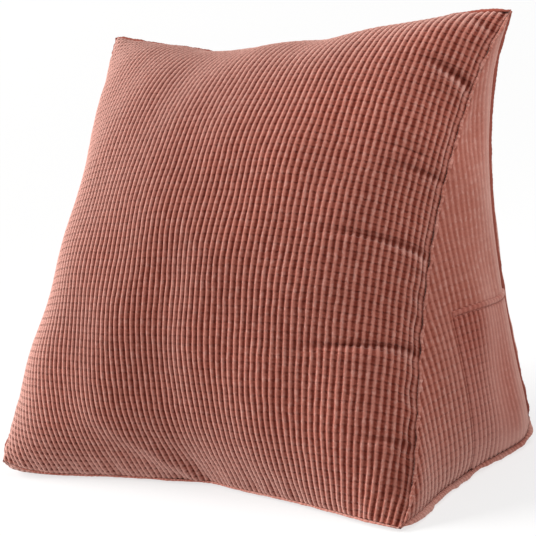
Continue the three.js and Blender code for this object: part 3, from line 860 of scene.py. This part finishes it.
class Nodes:
    """Shorthand for building a node tree."""

    def __init__(self, name):
        self.material = bpy.data.materials.new(name)
        self.material.use_nodes = True
        self.tree = self.material.node_tree
        self.shader = self.tree.nodes["Principled BSDF"]

    def new(self, kind, inputs=(), **settings):
        node = self.tree.nodes.new(kind)
        for key, value in settings.items():
            setattr(node, key, value)
        for key, value in dict(inputs).items():
            if isinstance(value, bpy.types.NodeSocket):
                self.tree.links.new(value, node.inputs[key])
            else:
                node.inputs[key].default_value = value
        return node

    def math(self, operation, a, b=0.0):
        return self.new("ShaderNodeMath", {0: a, 1: b}, operation=operation).outputs[0]

    def ramp(self, value, low, high, to_low=0.0, to_high=1.0):
        keys = {"Value": value, "From Min": low, "From Max": high, "To Min": to_low, "To Max": to_high}
        node = self.new("ShaderNodeMapRange", keys, interpolation_type="SMOOTHSTEP")
        return node.outputs["Result"]

    def blend(self, share, a, b, kind="MIX"):
        node = self.new("ShaderNodeMix", {0: share, 6: a, 7: b}, data_type="RGBA", blend_type=kind)
        return node.outputs[2]

    def noise(self, vector, scale, detail=3.0, rough=0.55):
        keys = {"Vector": vector, "Scale": scale, "Detail": detail, "Roughness": rough}
        return self.new("ShaderNodeTexNoise", keys).outputs["Fac"]

    def scaled(self, vector, x, y, z):
        return self.new("ShaderNodeVectorMath", {0: vector, 1: (x, y, z)}, operation="MULTIPLY").outputs[0]


def linear(red, green, blue):
    """A colour given in display steps of 0 to 255."""
    steps = [channel / 255 for channel in (red, green, blue)]
    return tuple(c / 12.92 if c <= 0.04045 else ((c + 0.055) / 1.055) ** 2.4 for c in steps) + (1.0,)


# The crest's colour darkens over the flanks into the groove's colour: painted shade in the grooves.
CREST = linear(179, 113, 99)
FLANK = linear(150, 79, 65)
GROOVE_SHADE = linear(112, 45, 33)
CUT = linear(108, 47, 36)
# Painted shade in the dots where the cuts cross the grooves, and in the folds.
DEEP_SHADE = linear(92, 32, 21)
# The fibres' pale colour, also used for painted sheen and painted highlights.
FUZZ_AND_SHEEN = linear(205, 158, 147)


def ribbed_cloth(name, lighter=0.0, redder=0.0):
    n = Nodes(name)
    cloth = n.new("ShaderNodeAttribute", attribute_name="cloth").outputs["Vector"]
    place = n.new("ShaderNodeTexCoord").outputs["Object"]
    split = n.new("ShaderNodeSeparateXYZ", {"Vector": cloth})
    across, along, sheen_and_shade = split.outputs["X"], split.outputs["Y"], split.outputs["Z"]
    weave = n.scaled(cloth, 1.0, 1.0, 0.0)
    wobble = n.math("MULTIPLY", n.math("SUBTRACT", n.noise(n.scaled(weave, 1.0, 0.35, 1.0), 1.3, 2.0), 0.5), 0.3)
    from_crest = n.math("MULTIPLY", n.math("ABSOLUTE", n.math("SUBTRACT", n.math("FRACT", across), 0.5)), 2.0)
    cut_place = n.math("FRACT", n.math("ADD", along, wobble))
    from_middle = n.math("MULTIPLY", n.math("ABSOLUTE", n.math("SUBTRACT", cut_place, 0.5)), 2.0)
    calm = n.new("ShaderNodeAttribute", attribute_name="calm").outputs["Fac"]
    kept = n.ramp(calm, 0.0, 1.0, 1.0, 0.1)
    flanked = n.math("MULTIPLY", n.ramp(from_crest, 0.1, 0.75), n.ramp(calm, 0.3, 1.0, 1.0, 0.6))
    flanked = n.math("MULTIPLY", flanked, n.ramp(sheen_and_shade, 0.0, 1.0, 1.0, 0.7))
    narrow = n.math("SUBTRACT", from_crest, n.ramp(sheen_and_shade, 0.0, 1.0, 0.0, 0.28))
    groove = n.math("MULTIPLY", n.ramp(narrow, 0.26, 0.82), n.math("MULTIPLY", kept, n.ramp(sheen_and_shade, 0.0, 1.0, 1.0, 0.5)))
    spread = n.math("ADD", from_middle, n.ramp(sheen_and_shade, 0.0, 1.0, 0.0, 0.22))
    fainter = n.math("SUBTRACT", 1.0, from_middle)
    cut = n.math("MAXIMUM", n.ramp(spread, 0.6, 0.94), n.ramp(fainter, 0.68, 0.98, 0.0, 0.3))
    cut = n.math("MULTIPLY", cut, n.math("MULTIPLY", kept, n.ramp(from_crest, 0.1, 0.7, 0.2, 1.0)))
    painted_shade = n.ramp(sheen_and_shade, 0.0, -1.0, 0.0, 0.8)
    dot = n.math("MULTIPLY", n.ramp(from_crest, 0.42, 0.84), cut)
    fibre = n.noise(n.scaled(weave, 9.0, 5.0, 1.0), 1.0, 4.0, 0.7)
    speckle = n.ramp(n.noise(n.scaled(weave, 3.0, 3.0, 1.0), 1.7, 3.0, 0.8), 0.55, 0.7)
    dash = n.noise(n.scaled(weave, 1.15, 0.62, 1.0), 1.0, 2.0, 0.5)
    gleam = n.noise(n.scaled(weave, 1.1, 1.0, 1.0), 1.37, 2.0, 0.5)
    streak = n.ramp(n.noise(n.scaled(weave, 0.28, 0.75, 1.0), 1.0, 4.0, 0.65), 0.42, 0.68)
    patch = n.noise(place, 9.0, 3.0)
    # Crest to flanks to groove: painted shade darkens the rib towards its grooves.
    colour = n.blend(flanked, CREST, FLANK)
    colour = n.blend(n.math("MULTIPLY", groove, n.ramp(dash, 0.38, 0.6, 0.35, 0.95)), colour, GROOVE_SHADE)
    colour = n.blend(n.math("MULTIPLY", cut, 0.45), colour, CUT)
    # Painted shade in the dots where the cuts cross the grooves.
    colour = n.blend(n.math("MULTIPLY", dot, n.ramp(sheen_and_shade, 0.0, 0.5, 0.5, 0.9)), colour, DEEP_SHADE)
    crown = n.math("SUBTRACT", 1.0, n.ramp(from_crest, 0.2, 0.8))
    colour = n.blend(n.math("MULTIPLY", n.math("MULTIPLY", speckle, crown), 0.3), colour, FUZZ_AND_SHEEN)
    # A painted highlight on the crests, stronger where the painted sheen is.
    shine = n.math("MULTIPLY", n.ramp(gleam, 0.5, 0.62), n.ramp(sheen_and_shade, 0.0, 0.5, 0.3, 0.4))
    colour = n.blend(n.math("MULTIPLY", shine, crown), colour, FUZZ_AND_SHEEN)
    open_pile = n.math("SUBTRACT", 1.0, n.math("MAXIMUM", n.math("MULTIPLY", groove, 0.9), dot))
    # Painted sheen: the pile lightened in streaks, most where the cloth's third channel is above 0.
    painted_sheen = n.math("MULTIPLY", n.math("ADD", n.math("MULTIPLY", streak, 0.28), 0.02), n.ramp(sheen_and_shade, 0.0, 1.0, 0.3, 1.2))
    colour = n.blend(n.math("MULTIPLY", painted_sheen, open_pile), colour, FUZZ_AND_SHEEN)
    shade = n.ramp(fibre, 0.25, 0.75, 0.84, 1.1)
    tone = n.math("MULTIPLY", shade, n.ramp(patch, 0.3, 0.7, 0.92 + lighter, 1.06 + lighter))
    cooler = n.math("MULTIPLY", tone, 1.0 - redder)
    tint = n.new("ShaderNodeCombineColor", {0: tone, 1: cooler, 2: cooler}).outputs[0]
    colour = n.blend(1.0, colour, tint, "MULTIPLY")
    # Painted shade where the cloth's third channel is below 0: the folds, the dip by the right seam and the gusset's
    # foot.
    colour = n.blend(n.math("MULTIPLY", painted_shade, n.ramp(from_crest, 0.15, 0.75, 0.2, 1.0)), colour, DEEP_SHADE)
    # Painted sheen: the pile's colour turns paler where it is seen at a glancing angle.
    pile = n.new("ShaderNodeAttribute", attribute_name="pile").outputs["Vector"]
    pile = n.new("ShaderNodeVectorTransform", {0: pile}, vector_type="NORMAL", convert_to="WORLD")
    glancing = n.new("ShaderNodeLayerWeight", {"Blend": 0.5, "Normal": pile.outputs[0]}).outputs["Facing"]
    colour = n.blend(n.math("MULTIPLY", n.ramp(glancing, 0.15, 0.75, 0.0, 0.7), open_pile), colour, FUZZ_AND_SHEEN)
    n.tree.links.new(colour, n.shader.inputs["Base Color"])
    height = n.math("SUBTRACT", n.math("MULTIPLY", fibre, 0.35), cut)
    bump = n.new("ShaderNodeBump", {"Height": height, "Strength": 1.0, "Distance": 0.0009})
    n.tree.links.new(bump.outputs[0], n.shader.inputs["Normal"])
    n.shader.inputs["Roughness"].default_value = 0.95
    n.shader.inputs["Specular IOR Level"].default_value = 0.12
    n.shader.inputs["Sheen Weight"].default_value = 0.4
    n.shader.inputs["Sheen Roughness"].default_value = 0.3
    n.shader.inputs["Sheen Tint"].default_value = linear(248, 208, 196)
    return n.material


def thread():
    n = Nodes("thread")
    place = n.new("ShaderNodeTexCoord").outputs["Object"]
    twist = n.noise(place, 1400.0, 2.0)
    colour = n.blend(n.ramp(twist, 0.3, 0.7), linear(160, 92, 80), linear(192, 120, 106))
    n.tree.links.new(colour, n.shader.inputs["Base Color"])
    n.shader.inputs["Roughness"].default_value = 0.8
    return n.material


body_cloth = ribbed_cloth("ribbed_cloth")
# The pocket's copy of the cloth is painted darker, a painted shade, and redder.
pocket_cloth = ribbed_cloth("pocket_cloth", -0.08, 0.1)
cushion.data.materials.append(body_cloth)
# The lips' copy of the cloth is painted a little lighter, a painted highlight.
lips.data.materials.append(ribbed_cloth("lip_cloth", 0.06))
pocket.data.materials.append(pocket_cloth)
stitches.data.materials.append(thread())

for piece in (cushion, lips, pocket, stitches):
    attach(piece, "root")
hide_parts("cushion")
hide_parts("side_pocket")


def plain_material(name, colour, rough):
    n = Nodes(name)
    n.shader.inputs["Base Color"].default_value = colour
    n.shader.inputs["Roughness"].default_value = rough
    return n.material


def add_floor():
    mesh = bpy.data.meshes.new("floor")
    size = 30.0
    mesh.from_pydata([(-size, -size, 0), (size, -size, 0), (size, size, 0), (-size, size, 0)], [], [(0, 1, 2, 3)])
    floor = bpy.data.objects.new("floor", mesh)
    bpy.context.scene.collection.objects.link(floor)
    material = plain_material("floor", (0.22, 0.22, 0.22, 1.0), 0.9)
    shader = material.node_tree.nodes["Principled BSDF"]
    shader.inputs["Emission Color"].default_value = (1.0, 1.0, 1.0, 1.0)
    shader.inputs["Emission Strength"].default_value = 0.7
    mesh.materials.append(material)


add_floor()


def aimed(place, target, roll=0.0):
    """A transform at a place whose -Z looks at a target."""
    place, target = np.array(place, float), np.array(target, float)
    back_axis = unit(place - target)
    side = unit(np.cross(UP, back_axis))
    rise = np.cross(back_axis, side)
    c, s = math.cos(math.radians(roll)), math.sin(math.radians(roll))
    side, rise = c * side + s * rise, c * rise - s * side
    matrix = np.eye(4)
    matrix[:3, 0], matrix[:3, 1], matrix[:3, 2], matrix[:3, 3] = side, rise, back_axis, place
    return Matrix(matrix.tolist())


def add_light(name, kind, place, power, **settings):
    """A lamp at a place, aimed at the pillow's middle."""
    light = bpy.data.lights.new(name, kind)
    light.energy = power
    for key, value in settings.items():
        setattr(light, key, value)
    lamp = bpy.data.objects.new(name, light)
    lamp.matrix_world = aimed(place, (0.0, 0.0, 0.15))
    bpy.context.scene.collection.objects.link(lamp)


add_light("key", "SUN", (-1.0, -0.3, 0.64), 5.7, angle=math.radians(40.0), color=(1.0, 0.995, 0.985))
add_light("fill", "AREA", (0.6, -0.05, 0.95), 5.2, size=0.6, color=(1.0, 0.985, 0.975))
add_light("side", "AREA", (-0.72, -0.4, 0.1), 2.0, size=0.4, color=(1.0, 0.98, 0.96))

world = bpy.data.worlds.new("studio")
bpy.context.scene.world = world
world.use_nodes = True
world.node_tree.nodes["Background"].inputs["Color"].default_value = (1.0, 1.0, 1.0, 1.0)
world.node_tree.nodes["Background"].inputs["Strength"].default_value = 0.3
bpy.context.scene.view_settings.view_transform = "Standard"

# The camera stands level with the pillow's upper half, to the right of its front.
CAMERA_PLACE = (vec(923.58, -1018.5, 476.43) - MIDDLE) * MM
CAMERA_YAW = math.radians(40.73)
CAMERA_PITCH = math.radians(12.66)
CAMERA_ROLL = -9.62
CAMERA_LENS = 110.0

camera_data = bpy.data.cameras.new("camera")
camera_data.lens = CAMERA_LENS
camera_data.sensor_width = 36.0
camera = bpy.data.objects.new("camera", camera_data)
looking_back = vec(
    math.sin(CAMERA_YAW) * math.cos(CAMERA_PITCH),
    -math.cos(CAMERA_YAW) * math.cos(CAMERA_PITCH),
    math.sin(CAMERA_PITCH),
)
camera.matrix_world = aimed(CAMERA_PLACE, CAMERA_PLACE - looking_back, CAMERA_ROLL)
bpy.context.scene.collection.objects.link(camera)
bpy.context.scene.camera = camera
